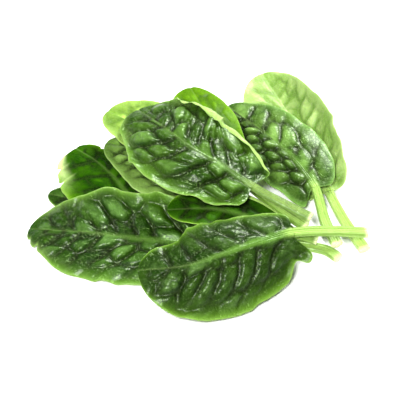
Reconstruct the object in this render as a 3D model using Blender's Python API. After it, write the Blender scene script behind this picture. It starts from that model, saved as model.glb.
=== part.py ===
"""A loose bunch of savoy spinach lying on a table: eleven whole leaves, each a blade grown on its petiole.

Each leaf is one closed solid. Its midrib runs from the cut end of the petiole to the tip of the blade,
and a row of cross-sections along it gives the blade its fold, its curl and its thickness.
The leaves are laid down one after the other, each one sinking onto the pile below until it touches,
and the finished pile is moved to stand with the middle of its outline over the origin.
+X is towards the cut ends, +Z is up, and the table top is the plane Z = 0.
"""

import math

import bmesh
import bpy
import numpy as np

MM = 0.001

# One leaf's proportions, in millimetres.
BLADE_THICKNESS = 0.9
CUT_HALF_WIDTH = 3.5
PETIOLE_HALF_WIDTH = 2.8
PETIOLE_TOP = 1.5
PETIOLE_BOTTOM = 2.1
PETIOLE_GROOVE = 0.8
RIB_TIP_HALF_WIDTH = 0.7
RIB_TIP_DEPTH = 0.2

# How finely each leaf is divided.
PETIOLE_ROWS = 5
BLADE_ROWS = 15
SIDE_COLUMNS = 5
SECTION_STEPS = 40

# The pile as a map of heights, and how leaves rest on it.
CELL = 1.0
MAP_REACH = 150.0
SPREAD_CELLS = 2
LEAF_GAP = 0.7
WEIGHT = 0.0015
SETTLING_ROUNDS = 1500
SAMPLES_PER_CELL = 8
NARROW = 1.0
STEEPEST_TILT = 0.12
TILT_ROUNDS = 10

COLOURS = {
    "deep_green": (0.035, 0.115, 0.018),
    "mid_green": (0.085, 0.230, 0.025),
    "pale_green": (0.230, 0.430, 0.060),
}

# From the bottom of the pile to the top. Points are in millimetres; the petiole ends where the blade starts.
# Pairs are (left, right), looking from base to tip: half-widths in millimetres, angles in degrees.
# outline is (shift, bluntness): a shift below 1 brings the widest place nearer to the base, and a low
# bluntness gives full, rounded ends. fold is each half's angle at the midrib, curl its further turn to the
# margin, rim the last turn of the margin alone, and roll turns the whole blade about its midrib at the base
# and at the tip. lobe is how far the margins sweep back beside the petiole, in millimetres.
LEAVES = [
    dict(
        name="right_back_leaf",
        colour="pale_green",
        petiole=[(96, -36, 3), (87, -10, 3), (79, 16, 6)],
        blade=[(70, 44, 14), (58, 79, 26), (41, 115, 37)],
        half_width=(31, 24),
        outline=(0.95, 0.42),
        fold=(4, 22),
        curl=(6, 48),
        rim=(0, 0),
        roll=(0, 0),
        lobe=(8, 2),
    ),
    dict(
        name="right_mid_leaf",
        colour="deep_green",
        petiole=[(81, -28, 4), (75, -10, 5), (70, 13, 10)],
        blade=[(60, 32, 14), (43, 54, 17), (18, 83, 17)],
        half_width=(23, 24),
        outline=(0.9, 0.5),
        fold=(-14, 4),
        curl=(-14, -6),
        rim=(0, 0),
        roll=(0, 0),
        lobe=(15, 6),
    ),
    dict(
        name="left_under_leaf",
        colour="deep_green",
        petiole=[(-12, -4, 2), (-21, -2, 2), (-30, -1, 3)],
        blade=[(-55, 3, 4), (-73, 9, 5), (-93, 17, 4)],
        half_width=(14, 14),
        outline=(0.9, 0.5),
        fold=(4, 4),
        curl=(6, 6),
        rim=(0, 0),
        roll=(0, 0),
        lobe=(6, 6),
    ),
    dict(
        name="left_back_leaf",
        colour="mid_green",
        petiole=[(37, -20, 3), (9, -12, 4), (-21, -7, 6)],
        blade=[(-42, 4, 12), (-53, 18, 17), (-65, 31, 20), (-77, 42, 20)],
        half_width=(32, 15),
        outline=(1.2, 0.32),
        fold=(-8, -8),
        curl=(-16, -16),
        rim=(0, 0),
        roll=(0, 0),
        lobe=(4, 4),
    ),
    dict(
        name="left_mid_leaf",
        colour="deep_green",
        petiole=[(47, -27, 3), (30, -16, 6), (7, 1, 12)],
        blade=[(-12, 20, 18), (-34, 35, 22), (-58, 46, 22)],
        half_width=(27, 20),
        outline=(1.0, 0.5),
        fold=(-6, 0),
        curl=(-8, 0),
        rim=(0, 0),
        roll=(0, 0),
        lobe=(4, 4),
    ),
    dict(
        name="left_top_leaf",
        colour="pale_green",
        petiole=[(55, -18, 4), (37, -6, 8), (12, 7, 14)],
        blade=[(-9, 25, 22), (-31, 42, 28), (-57, 61, 28)],
        half_width=(21, 27),
        outline=(1.0, 0.34),
        fold=(0, 5),
        curl=(5, 10),
        rim=(10, 0),
        roll=(10, 10),
        lobe=(8, 8),
    ),
    dict(
        name="back_small_leaf",
        colour="mid_green",
        petiole=[(63, -18, 6), (47, -7, 9), (26, 10, 14)],
        blade=[(13, 29, 20), (4, 52, 23), (-6, 78, 20)],
        half_width=(24, 18),
        outline=(1.0, 0.45),
        fold=(0, 0),
        curl=(-5, -5),
        rim=(0, 0),
        roll=(0, 0),
        lobe=(6, 6),
    ),
    dict(
        name="left_leaf",
        colour="deep_green",
        petiole=[(80, -47, 4), (71, -40, 5), (52, -36, 6), (26, -35, 8), (3, -34, 10)],
        blade=[(-29, -31, 11), (-53, -26, 11), (-74, -22, 11), (-102, -14, 7)],
        half_width=(33, 30),
        outline=(0.8, 0.46),
        fold=(-14, 12),
        curl=(-10, 44),
        rim=(0, 0),
        roll=(0, 0),
        lobe=(10, 10),
    ),
    dict(
        name="middle_under_leaf",
        colour="mid_green",
        petiole=[(68, -37, 8), (52, -32, 10), (36, -28, 13)],
        blade=[(22, -22, 16), (5, -20, 18), (-19, -20, 16)],
        half_width=(16, 18),
        outline=(0.75, 0.45),
        fold=(0, 0),
        curl=(8, 8),
        rim=(0, 0),
        roll=(8, 8),
        lobe=(4, 14),
    ),
    dict(
        name="top_leaf",
        colour="deep_green",
        petiole=[(65, -23, 12), (49, -16, 16), (31, -8, 22)],
        blade=[(13, 3, 30), (-6, 13, 36), (-22, 32, 35), (-38, 56, 28)],
        half_width=(34, 36),
        outline=(1.0, 0.45),
        fold=(-16, 0),
        curl=(-20, 10),
        rim=(0, 60),
        roll=(4, 4),
        lobe=(8, 8),
    ),
    dict(
        name="front_leaf",
        colour="deep_green",
        petiole=[(97, -32, 12), (75, -34, 15), (53, -38, 18)],
        blade=[(35, -47, 22), (14, -58, 24), (-8, -65, 22), (-35, -63, 16)],
        half_width=(37, 27),
        outline=(0.93, 0.52),
        fold=(-20, -14),
        curl=(-30, -14),
        rim=(0, 0),
        roll=(16, 14),
        lobe=(13, 6),
    ),
]


def smooth_step(x):
    x = np.clip(x, 0.0, 1.0)
    return x * x * (3.0 - 2.0 * x)


def curve_through(points, spans=24):
    """A Catmull-Rom curve through the points, with that many steps between neighbours."""
    points = np.array(points, float)
    held = np.vstack([2 * points[0] - points[1], points, 2 * points[-1] - points[-2]])
    t = (np.arange(spans) / spans)[:, None]
    stretches = []
    for a, b, c, d in zip(held, held[1:], held[2:], held[3:]):
        cubic = 2 * b + (c - a) * t + (2 * a - 5 * b + 4 * c - d) * t**2 + (3 * b - a - 3 * c + d) * t**3
        stretches.append(cubic / 2)
    return np.vstack([*stretches, points[-1:]])


def midrib_rows(leaf, petiole_rows, blade_rows):
    """Places and directions along the midrib, with s, which is 0 on the petiole and runs to 1 at the tip."""
    spans = 24
    line = curve_through([*leaf["petiole"], *leaf["blade"]], spans)
    steps = np.linalg.norm(np.diff(line, axis=0), axis=1)
    along = np.concatenate([[0.0], np.cumsum(steps)])
    base = along[(len(leaf["petiole"]) - 1) * spans]
    stalk = np.arange(petiole_rows) / petiole_rows
    s = (1 - np.cos(math.pi * np.arange(blade_rows + 1) / blade_rows)) / 2
    rows = np.concatenate([stalk * base, base + s * (along[-1] - base)])
    directions = np.gradient(line, along, axis=0)
    place = np.stack([np.interp(rows, along, line[:, i]) for i in range(3)], 1)
    tangent = np.stack([np.interp(rows, along, directions[:, i]) for i in range(3)], 1)
    tangent /= np.linalg.norm(tangent, axis=1, keepdims=True)
    to_base = np.concatenate([stalk, np.ones(blade_rows + 1)])
    return place, tangent, np.concatenate([np.zeros(petiole_rows), s]), to_base, rows


def half_section(s, outline, fold, curl, rim, share):
    """How far out and up half of each cross-section has gone, and its angle, at each share of its width."""
    tau = np.linspace(0, 1, SECTION_STEPS)
    folded = fold * smooth_step(s / 0.18) * smooth_step((1 - s) / 0.25)
    curled = curl * outline * smooth_step(s / 0.18)
    rolled = rim * np.sin(math.pi * s) ** 0.5
    angle = np.radians(folded[:, None] + curled[:, None] * tau + rolled[:, None] * smooth_step(tau * 5 - 4))
    step = tau[1]
    middle = (angle[:, 1:] + angle[:, :-1]) / 2
    out = np.concatenate([np.zeros((len(s), 1)), np.cumsum(np.cos(middle), axis=1) * step], axis=1)
    up = np.concatenate([np.zeros((len(s), 1)), np.cumsum(np.sin(middle), axis=1) * step], axis=1)
    rows = range(len(s))
    return [np.stack([np.interp(share[r], tau, table[r]) for r in rows]) for table in (out, up, angle)]


def leaf_surfaces(leaf, petiole_rows, blade_rows, side_columns):
    """The upper and lower faces of a leaf as grids of points, rows along the midrib and columns across."""
    place, tangent, s, to_base, along = midrib_rows(leaf, petiole_rows, blade_rows)
    world_up = np.array([0.0, 0.0, 1.0])
    normal = world_up - (tangent @ world_up)[:, None] * tangent
    normal /= np.linalg.norm(normal, axis=1, keepdims=True)
    across = np.cross(tangent, normal)
    roll = np.radians(np.interp(s, [0, 1], leaf["roll"]) * smooth_step(to_base))[:, None]
    right = across * np.cos(roll) + normal * np.sin(roll)
    upward = normal * np.cos(roll) - across * np.sin(roll)

    shift, bluntness = leaf["outline"]
    outline = np.clip(np.sin(math.pi * s**shift), 0, 1) ** bluntness
    rib = np.interp(to_base + s, [0, 1, 2], [CUT_HALF_WIDTH, PETIOLE_HALF_WIDTH, RIB_TIP_HALF_WIDTH])
    q = np.linspace(-1, 1, 2 * side_columns + 1)
    crowding = np.where(s > 0, 1.35, 1.0)[:, None]
    share = np.abs(q)[None, :] ** crowding
    centre = np.zeros((len(s), len(q), 3))
    face_up = np.zeros_like(centre)
    distance = np.zeros((len(s), len(q)))
    for side, columns in ((0, q <= 0), (1, q > 0)):
        sign = 1.0 if side else -1.0
        width = np.hypot(rib, leaf["half_width"][side] * outline)[:, None]
        out, up, angle = half_section(
            s, outline, leaf["fold"][side], leaf["curl"][side], leaf["rim"][side], share[:, columns]
        )
        centre[:, columns] = (
            place[:, None]
            + (sign * out * width)[..., None] * right[:, None]
            + (up * width)[..., None] * upward[:, None]
        )
        face_up[:, columns] = (
            np.cos(angle)[..., None] * upward[:, None] - (sign * np.sin(angle))[..., None] * right[:, None]
        )
        distance[:, columns] = share[:, columns] * width
    swept = (s / 0.08) * np.exp(1 - s / 0.08)
    lobes = np.where(q > 0, leaf["lobe"][1], leaf["lobe"][0]) * np.abs(q) ** 1.6
    centre -= (swept[:, None] * lobes)[..., None] * tangent[:, None]

    bulge = np.sqrt(np.clip(1 - (distance / rib[:, None]) ** 2, 0, 1))
    top_height = PETIOLE_TOP * (1 - smooth_step(s / 0.15))[:, None]
    groove = PETIOLE_GROOVE * np.exp(-((2 * distance / rib[:, None]) ** 2))
    groove *= (1 - smooth_step(s / 0.3))[:, None]
    bottom_depth = np.interp(s, [0, 1], [PETIOLE_BOTTOM, RIB_TIP_DEPTH])[:, None]
    half = BLADE_THICKNESS / 2
    top = centre + (half + top_height * bulge - groove * bulge)[..., None] * face_up
    bottom = centre - (half + bottom_depth * bulge)[..., None] * face_up
    return top, bottom, along


def finer(grid, k):
    """A grid of points with k straight steps between neighbours."""
    rows = np.arange((grid.shape[0] - 1) * k + 1) / k
    columns = np.arange((grid.shape[1] - 1) * k + 1) / k
    r = np.minimum(rows.astype(int), grid.shape[0] - 2)
    c = np.minimum(columns.astype(int), grid.shape[1] - 2)
    fr = (rows - r)[:, None, None]
    fc = (columns - c)[None, :, None]
    upper = grid[r][:, c] * (1 - fc) + grid[r][:, c + 1] * fc
    lower = grid[r + 1][:, c] * (1 - fc) + grid[r + 1][:, c + 1] * fc
    return upper * (1 - fr) + lower * fr


def cells_under(points):
    cells = np.round((points[..., :2] + MAP_REACH) / CELL).astype(int)
    return np.clip(cells, 0, int(2 * MAP_REACH / CELL) - 1)


def resting_tilt(top, bottom, need):
    """The tilt, as a rise at each grid point, that lets a stiff leaf lie as low as it can on the pile."""
    spacing = np.cross(np.gradient(top, axis=0), np.gradient(top, axis=1))
    mass = np.linalg.norm(spacing, axis=2) * np.linalg.norm(top - bottom, axis=2) ** 2
    arms = top[..., :2] - (top[..., :2] * mass[..., None]).sum(axis=(0, 1)) / mass.sum()
    best = np.zeros(2)
    span = STEEPEST_TILT
    for _ in range(TILT_ROUNDS):
        steps = np.linspace(-span, span, 9)
        tries = best + np.stack(np.meshgrid(steps, steps), axis=-1).reshape(-1, 2)
        tries = np.clip(tries, -STEEPEST_TILT, STEEPEST_TILT)
        heights = (need[None] - np.einsum("rck,tk->trc", arms, tries)).max(axis=(1, 2))
        best = tries[heights.argmin()]
        span *= 0.5
    return arms @ best


def settle(top, bottom, along, pile):
    """How far each grid point rises or sinks so that the leaf rests on the pile and bends over it."""
    k = SAMPLES_PER_CELL
    needed = None
    for face in (top, bottom):
        points = finer(face, k)
        cells = cells_under(points)
        below = pile[cells[..., 0], cells[..., 1]]
        clearance = np.where(below > 0, LEAF_GAP, 0.0)
        short = below + clearance - points[..., 2]
        needed = short if needed is None else np.maximum(needed, short)
    padded = np.pad(needed, k, constant_values=-1e9)
    windows = np.lib.stride_tricks.sliding_window_view(padded, (2 * k + 1, 2 * k + 1))[::k, ::k]
    need = windows.max(axis=(2, 3))

    tilted = resting_tilt(top, bottom, need)
    need = need - tilted
    d_row = np.maximum(np.diff(along), 1.5)
    ahead = (1 / np.concatenate([d_row, d_row[-1:]]) ** 2)[:, None]
    behind = (1 / np.concatenate([d_row[:1], d_row]) ** 2)[:, None]
    column_gap = np.linalg.norm(np.diff(top, axis=1), axis=2).mean(axis=1)
    narrow = column_gap < NARROW
    sideways = (1 / np.maximum(column_gap, NARROW) ** 2)[:, None]
    lift = np.full(need.shape, need.max())
    for _ in range(SETTLING_ROUNDS):
        p = np.pad(lift, 1, mode="edge")
        pull = p[2:, 1:-1] * ahead + p[:-2, 1:-1] * behind + (p[1:-1, 2:] + p[1:-1, :-2]) * sideways
        lift = np.maximum(need, (pull - WEIGHT) / (ahead + behind + 2 * sideways))
        lift[narrow] = lift[narrow].max(axis=1, keepdims=True)
    lift += tilted
    spare = finer(lift[..., None], k)[..., 0] - needed
    return lift - spare.min()


def heap(top, bottom, pile):
    """Adds a settled leaf to the map of the pile."""
    own = np.zeros_like(pile)
    for face in (top, bottom):
        points = finer(face, SAMPLES_PER_CELL + 2).reshape(-1, 3)
        cells = cells_under(points)
        np.maximum.at(own, (cells[:, 0], cells[:, 1]), points[:, 2])
    reach = 2 * SPREAD_CELLS + 1
    padded = np.pad(own, SPREAD_CELLS)
    spread = np.lib.stride_tricks.sliding_window_view(padded, (reach, reach)).max(axis=(2, 3))
    np.maximum(pile, spread, out=pile)


def leaf_object(leaf, top, bottom):
    """One closed mesh: rings of upper and lower points, joined along the leaf and closed at both ends."""
    bm = bmesh.new()
    rings = []
    for upper, lower in zip(top, bottom):
        loop = [*upper, *lower[::-1]]
        rings.append([bm.verts.new(point * MM) for point in loop])
    count = len(rings[0])
    for ring, following in zip(rings, rings[1:]):
        for i in range(count):
            j = (i + 1) % count
            bm.faces.new((ring[i], ring[j], following[j], following[i]))
    for ring in (rings[0][::-1], rings[-1]):
        for i in range(count // 2 - 1):
            bm.faces.new((ring[i], ring[i + 1], ring[count - 2 - i], ring[count - 1 - i]))
    bmesh.ops.triangulate(bm, faces=bm.faces)
    mesh = bpy.data.meshes.new(leaf["name"])
    bm.to_mesh(mesh)
    bm.free()
    mesh.shade_smooth()
    mesh.materials.append(bpy.data.materials[leaf["colour"]])
    made = bpy.data.objects.new(leaf["name"], mesh)
    bpy.context.scene.collection.objects.link(made)
    return made


def make_materials():
    for name, colour in COLOURS.items():
        material = bpy.data.materials.new(name)
        material.use_nodes = True
        shader = material.node_tree.nodes["Principled BSDF"]
        shader.inputs["Base Color"].default_value = (*colour, 1)
        shader.inputs["Roughness"].default_value = 0.45
        shader.inputs["Metallic"].default_value = 0.0


def main():
    for old in list(bpy.data.objects):
        bpy.data.objects.remove(old, do_unlink=True)
    make_materials()
    cells = int(2 * MAP_REACH / CELL)
    pile = np.zeros((cells, cells))
    laid = []
    for leaf in LEAVES:
        top, bottom, along = leaf_surfaces(leaf, PETIOLE_ROWS, BLADE_ROWS, SIDE_COLUMNS)
        lift = settle(top, bottom, along, pile)
        for face in (top, bottom):
            face[..., 2] += lift
        heap(top, bottom, pile)
        laid.append(np.stack([top, bottom]))
    lowest = np.min([faces.min(axis=(0, 1, 2)) for faces in laid], axis=0)
    highest = np.max([faces.max(axis=(0, 1, 2)) for faces in laid], axis=0)
    middle = (lowest + highest) / 2
    middle[2] = lowest[2]
    for leaf, faces in zip(LEAVES, laid):
        leaf_object(leaf, *(faces - middle))


main()
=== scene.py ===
"""Looks for a loose bunch of savoy spinach: eleven leaves with puckered blades, pale veins and ribbed stalks.

The pile is laid out twice. First the plain leaves are settled exactly as the CAD part settles them, on a
coarse grid. Then each leaf is made again on a fine grid, with its puckers, veins, waves and ridges, moved by
the same amounts, and eased up wherever its detail would cut into the leaves below. Lengths in the tables and
the shape code are millimetres, and angles are degrees.
"""

import math
from types import SimpleNamespace

import bpy
import numpy as np
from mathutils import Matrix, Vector


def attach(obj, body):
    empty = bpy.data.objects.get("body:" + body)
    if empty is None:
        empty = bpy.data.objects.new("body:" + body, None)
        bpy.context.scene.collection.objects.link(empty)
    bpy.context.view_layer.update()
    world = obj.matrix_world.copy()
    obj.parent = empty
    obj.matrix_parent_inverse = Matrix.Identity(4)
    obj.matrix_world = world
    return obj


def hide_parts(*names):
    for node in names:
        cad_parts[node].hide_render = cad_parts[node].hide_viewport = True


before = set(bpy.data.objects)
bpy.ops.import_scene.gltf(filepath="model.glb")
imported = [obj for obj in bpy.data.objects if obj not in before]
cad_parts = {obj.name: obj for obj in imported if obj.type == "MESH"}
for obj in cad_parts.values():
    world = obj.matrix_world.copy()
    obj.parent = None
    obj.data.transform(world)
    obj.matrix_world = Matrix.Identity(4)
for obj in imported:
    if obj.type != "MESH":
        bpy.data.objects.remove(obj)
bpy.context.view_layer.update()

MM = 0.001

# One leaf's proportions, as in the CAD part.
BLADE_THICKNESS = 0.9
CUT_HALF_WIDTH = 3.5
PETIOLE_HALF_WIDTH = 2.8
PETIOLE_TOP = 1.5
PETIOLE_BOTTOM = 2.1
PETIOLE_GROOVE = 0.8
RIB_TIP_HALF_WIDTH = 0.7
RIB_TIP_DEPTH = 0.2

# The coarse grid and the settling, as in the CAD part. FREE marks a point that nothing below holds up.
PETIOLE_ROWS = 5
BLADE_ROWS = 15
SIDE_COLUMNS = 5
SECTION_STEPS = 40
CELL = 1.0
MAP_REACH = 150.0
SPREAD_CELLS = 2
LEAF_GAP = 0.7
WEIGHT = 0.0015
SETTLING_ROUNDS = 1500
SAMPLES_PER_CELL = 8
NARROW = 1.0
CLOSEST_ROWS = 1.5
FREE = -1e9
STEEPEST_TILT = 0.12
TILT_ROUNDS = 10

CURVE_SPANS = 24

# The fine grid, and how its leaves are eased clear of each other.
FINE_PETIOLE_ROWS = 44
FINE_BLADE_ROWS = 150
FINE_SIDE_COLUMNS = 48
FINE_SECTION_STEPS = 96
SKIN_THICKNESS = 0.45
FINE_GAP = 0.15
FINE_SAMPLES = 2
FINE_SPREAD_CELLS = 1
EASING_BLOCK = 4
EASING_ROUNDS = 300
EASING_HOLD = 0.985


# From the bottom of the pile to the top. Points are in millimetres; the petiole ends where the blade starts.
# Pairs are (left, right), looking from base to tip: half-widths in millimetres, angles in degrees.
# outline is (shift, bluntness): a shift below 1 brings the widest place nearer to the base, and a low
# bluntness gives full, rounded ends. fold is each half's angle at the midrib, curl its further turn to the
# margin, rim the last turn of the margin alone, and roll turns the whole blade about its midrib at the base
# and at the tip. lobe is how far the margins sweep back beside the petiole, in millimetres.
LEAVES = [
    dict(
        name="right_back_leaf",
        petiole=[(96, -36, 3), (87, -10, 3), (79, 16, 6)],
        blade=[(70, 44, 14), (58, 79, 26), (41, 115, 37)],
        half_width=(31, 24),
        outline=(0.95, 0.42),
        fold=(4, 22),
        curl=(6, 48),
        rim=(0, 0),
        roll=(0, 0),
        lobe=(8, 2),
    ),
    dict(
        name="right_mid_leaf",
        petiole=[(81, -28, 4), (75, -10, 5), (70, 13, 10)],
        blade=[(60, 32, 14), (43, 54, 17), (18, 83, 17)],
        half_width=(23, 24),
        outline=(0.9, 0.5),
        fold=(-14, 4),
        curl=(-14, -6),
        rim=(0, 0),
        roll=(0, 0),
        lobe=(15, 6),
    ),
    dict(
        name="left_under_leaf",
        petiole=[(-12, -4, 2), (-21, -2, 2), (-30, -1, 3)],
        blade=[(-55, 3, 4), (-73, 9, 5), (-93, 17, 4)],
        half_width=(14, 14),
        outline=(0.9, 0.5),
        fold=(4, 4),
        curl=(6, 6),
        rim=(0, 0),
        roll=(0, 0),
        lobe=(6, 6),
    ),
    dict(
        name="left_back_leaf",
        petiole=[(37, -20, 3), (9, -12, 4), (-21, -7, 6)],
        blade=[(-42, 4, 12), (-53, 18, 17), (-65, 31, 20), (-77, 42, 20)],
        half_width=(32, 15),
        outline=(1.2, 0.32),
        fold=(-8, -8),
        curl=(-16, -16),
        rim=(0, 0),
        roll=(0, 0),
        lobe=(4, 4),
    ),
    dict(
        name="left_mid_leaf",
        petiole=[(47, -27, 3), (30, -16, 6), (7, 1, 12)],
        blade=[(-12, 20, 18), (-34, 35, 22), (-58, 46, 22)],
        half_width=(27, 20),
        outline=(1.0, 0.5),
        fold=(-6, 0),
        curl=(-8, 0),
        rim=(0, 0),
        roll=(0, 0),
        lobe=(4, 4),
    ),
    dict(
        name="left_top_leaf",
        petiole=[(55, -18, 4), (37, -6, 8), (12, 7, 14)],
        blade=[(-9, 25, 22), (-31, 42, 28), (-57, 61, 28)],
        half_width=(21, 27),
        outline=(1.0, 0.34),
        fold=(0, 5),
        curl=(5, 10),
        rim=(10, 0),
        roll=(10, 10),
        lobe=(8, 8),
    ),
    dict(
        name="back_small_leaf",
        petiole=[(63, -18, 6), (47, -7, 9), (26, 10, 14)],
        blade=[(13, 29, 20), (4, 52, 23), (-6, 78, 20)],
        half_width=(24, 18),
        outline=(1.0, 0.45),
        fold=(0, 0),
        curl=(-5, -5),
        rim=(0, 0),
        roll=(0, 0),
        lobe=(6, 6),
    ),
    dict(
        name="left_leaf",
        petiole=[(80, -47, 4), (71, -40, 5), (52, -36, 6), (26, -35, 8), (3, -34, 10)],
        blade=[(-29, -31, 11), (-53, -26, 11), (-74, -22, 11), (-102, -14, 7)],
        half_width=(33, 30),
        outline=(0.8, 0.46),
        fold=(-14, 12),
        curl=(-10, 44),
        rim=(0, 0),
        roll=(0, 0),
        lobe=(10, 10),
    ),
    dict(
        name="middle_under_leaf",
        petiole=[(68, -37, 8), (52, -32, 10), (36, -28, 13)],
        blade=[(22, -22, 16), (5, -20, 18), (-19, -20, 16)],
        half_width=(16, 18),
        outline=(0.75, 0.45),
        fold=(0, 0),
        curl=(8, 8),
        rim=(0, 0),
        roll=(8, 8),
        lobe=(4, 14),
    ),
    dict(
        name="top_leaf",
        petiole=[(65, -23, 12), (49, -16, 16), (31, -8, 22)],
        blade=[(13, 3, 30), (-6, 13, 36), (-22, 32, 35), (-38, 56, 28)],
        half_width=(34, 36),
        outline=(1.0, 0.45),
        fold=(-16, 0),
        curl=(-20, 10),
        rim=(0, 60),
        roll=(4, 4),
        lobe=(8, 8),
    ),
    dict(
        name="front_leaf",
        petiole=[(97, -32, 12), (75, -34, 15), (53, -38, 18)],
        blade=[(35, -47, 22), (14, -58, 24), (-8, -65, 22), (-35, -63, 16)],
        half_width=(37, 27),
        outline=(0.93, 0.52),
        fold=(-20, -14),
        curl=(-30, -14),
        rim=(0, 0),
        roll=(16, 14),
        lobe=(13, 6),
    ),
]

# How each leaf looks. Pairs are (left, right), looking from its base to its tip.
#   slot: the record's material slot, not read here   seed: starts the leaf's random patterns
#   pucker: the height of its blisters      cell: their size along the midrib and outwards
#   calm: how flat the blisters get towards the margin
#   wave: the swing of its margin           wander: how far its outline strays, per unit of half-width
#   hem: how far its very edge rolls over   nicks: notches, each (place, depth, width), as parts of 1
#   pale tip: how much painted light shines through its tip   dark, light: the colours of its darker and lighter patches
#   depth: how much of the dark colour is left in the painted shade of its creases
#   rough: how rough its skin is            shine: how much waxy gloss it has, and how much painted sheen its crests get
#   glow: how much light soaks through      stalk: how light its stalk is
#   rib: how far its midrib's own colour covers the blade's
LOOKS = {
    "right_back_leaf": dict(
        slot="leaf_pale_green", seed=11, pucker=(0.7, 1.7), cell=((15, 12), (11, 9)), calm=0.8,
        wave=10, wander=0.05, hem=(0, 0),
        backlit_tip=(0.1, 0.3), dark=(0.16, 0.30, 0.045), light=(0.38, 0.51, 0.17), depth=0.85,
        rough=0.42, shine=0.8, glow=0.3, stalk=1.0, rib=0.75,
    ),
    "right_mid_leaf": dict(
        slot="leaf_deep_green", seed=23, pucker=(3.6, 1.0), cell=((9, 8), (14, 18)), calm=0.7,
        wave=14, wander=0.06, hem=(0, 0),
        backlit_tip=(0.0, 0.0), dark=(0.019, 0.065, 0.003), light=(0.078, 0.160, 0.020), depth=0.1,
        rough=0.38, shine=1.5, glow=0.1, stalk=1.0, rib=0.4,
    ),
    "left_under_leaf": dict(
        slot="leaf_deep_green", seed=31, pucker=(0.8, 0.8), cell=((11, 9), (11, 9)), calm=0.8,
        wave=8, wander=0.05, hem=(0, 0),
        backlit_tip=(0.0, 0.0), dark=(0.014, 0.050, 0.002), light=(0.035, 0.100, 0.006), depth=0.2,
        rough=0.42, shine=1.0, glow=0.1, stalk=0.7, rib=0.4,
    ),
    "left_back_leaf": dict(
        slot="leaf_mid_green", seed=41, pucker=(0.9, 1.4), cell=((15, 12), (10, 8)), calm=0.8,
        wave=18, wander=0.08, hem=(0, 0),
        nicks=(((0.78, 0.14, 0.012), (0.9, 0.14, 0.012)), ((0.86, 0.12, 0.012),)),
        backlit_tip=(1.0, 0.0), dark=(0.008, 0.048, 0.0005), light=(0.032, 0.112, 0.001), depth=0.3,
        rough=0.55, shine=0.1, glow=0.15, stalk=0.7, rib=0.6,
    ),
    "left_mid_leaf": dict(
        slot="leaf_deep_green", seed=53, pucker=(1.6, 1.2), cell=((11, 8), (12, 10)), calm=0.8,
        wave=12, wander=0.05, hem=(0, 0),
        # These greens are far lighter than the other deep leaves': painted light, for the grey highlights it
        # shows though it lies in shade.
        backlit_tip=(0.0, 0.0), dark=(0.083, 0.173, 0.022), light=(0.173, 0.292, 0.060), depth=0.15,
        rough=0.42, shine=1.5, glow=0.1, stalk=0.6, rib=0.4,
    ),
    "left_top_leaf": dict(
        slot="leaf_pale_green", seed=61, pucker=(0.9, 0.9), cell=((15, 12), (15, 12)), calm=0.8,
        wave=14, wander=0.07, hem=(0, 0),
        backlit_tip=(0.2, 0.1), dark=(0.100, 0.210, 0.020), light=(0.250, 0.400, 0.065), depth=0.85,
        rough=0.42, shine=0.7, glow=0.3, stalk=0.7, rib=0.5,
    ),
    "back_small_leaf": dict(
        slot="leaf_mid_green", seed=71, pucker=(0.5, 0.5), cell=((15, 12), (15, 12)), calm=0.8,
        wave=6, wander=0.03, hem=(0, 0),
        backlit_tip=(0.0, 0.0), dark=(0.050, 0.140, 0.001), light=(0.105, 0.235, 0.002), depth=0.75,
        rough=0.5, shine=0.25, glow=0.2, stalk=0.7, rib=0.4,
    ),
    "left_leaf": dict(
        slot="leaf_deep_green", seed=83, pucker=(2.6, 2.8), cell=((12, 10), (13, 17)), calm=0.75,
        wave=14, wander=0.06, hem=(0, 0), nicks=(((0.91, 0.22, 0.010), (0.965, 0.22, 0.008)), ()),
        backlit_tip=(0.1, 0.1), dark=(0.0043, 0.026, 0.0004), light=(0.022, 0.072, 0.0007), depth=0.1,
        rough=0.33, shine=1.5, glow=0.1, stalk=0.9, rib=0.4,
    ),
    "middle_under_leaf": dict(
        slot="leaf_mid_green", seed=97, pucker=(0.8, 0.8), cell=((11, 9), (11, 9)), calm=0.8,
        wave=12, wander=0.05, hem=(40, 165),
        backlit_tip=(0.0, 0.0), dark=(0.007, 0.040, 0.0005), light=(0.024, 0.090, 0.001), depth=0.2,
        rough=0.5, shine=0.2, glow=0.1, stalk=0.7, rib=0.5,
    ),
    "top_leaf": dict(
        slot="leaf_deep_green", seed=101, pucker=(3.6, 3.2), cell=((14, 11), (10, 22)), calm=0.6,
        wave=12, wander=0.05, hem=(40, 130),
        backlit_tip=(0.1, 0.1), dark=(0.0075, 0.037, 0.0007), light=(0.038, 0.099, 0.0041), depth=0.1,
        rough=0.33, shine=1.4, glow=0.1, stalk=0.62, rib=0.35,
    ),
    "front_leaf": dict(
        slot="leaf_deep_green", seed=113, pucker=(2.6, 2.4), cell=((11, 19), (15, 20)), calm=0.6,
        wave=12, wander=0.05, hem=(45, 0), nicks=(((0.14, 0.3, 0.03),), ()),
        backlit_tip=(0.0, 0.0), dark=(0.0040, 0.020, 0.0004), light=(0.018, 0.052, 0.0020), depth=0.3,
        rough=0.35, shine=1.05, glow=0.1, stalk=1.0, rib=0.75,
    ),
}

# Colours that all leaves share.
VEIN = (0.36, 0.52, 0.16)
STALK = (0.38, 0.61, 0.125)
RIB = (0.11, 0.25, 0.03)
# Painted light soaking through a thin margin: a saturated bright green.
MARGIN_GLOW = (0.20, 0.44, 0.012)
# Painted grey sheen: the reflection that blister crests show.
PAINTED_SHEEN = (0.30, 0.42, 0.20)
HEM = (0.50, 0.68, 0.22)
STALK_CUT = (0.84, 0.92, 0.48)
# Painted light shining through a thin, pale tip.
BACKLIT_GREEN = (0.62, 0.78, 0.30)

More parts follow.
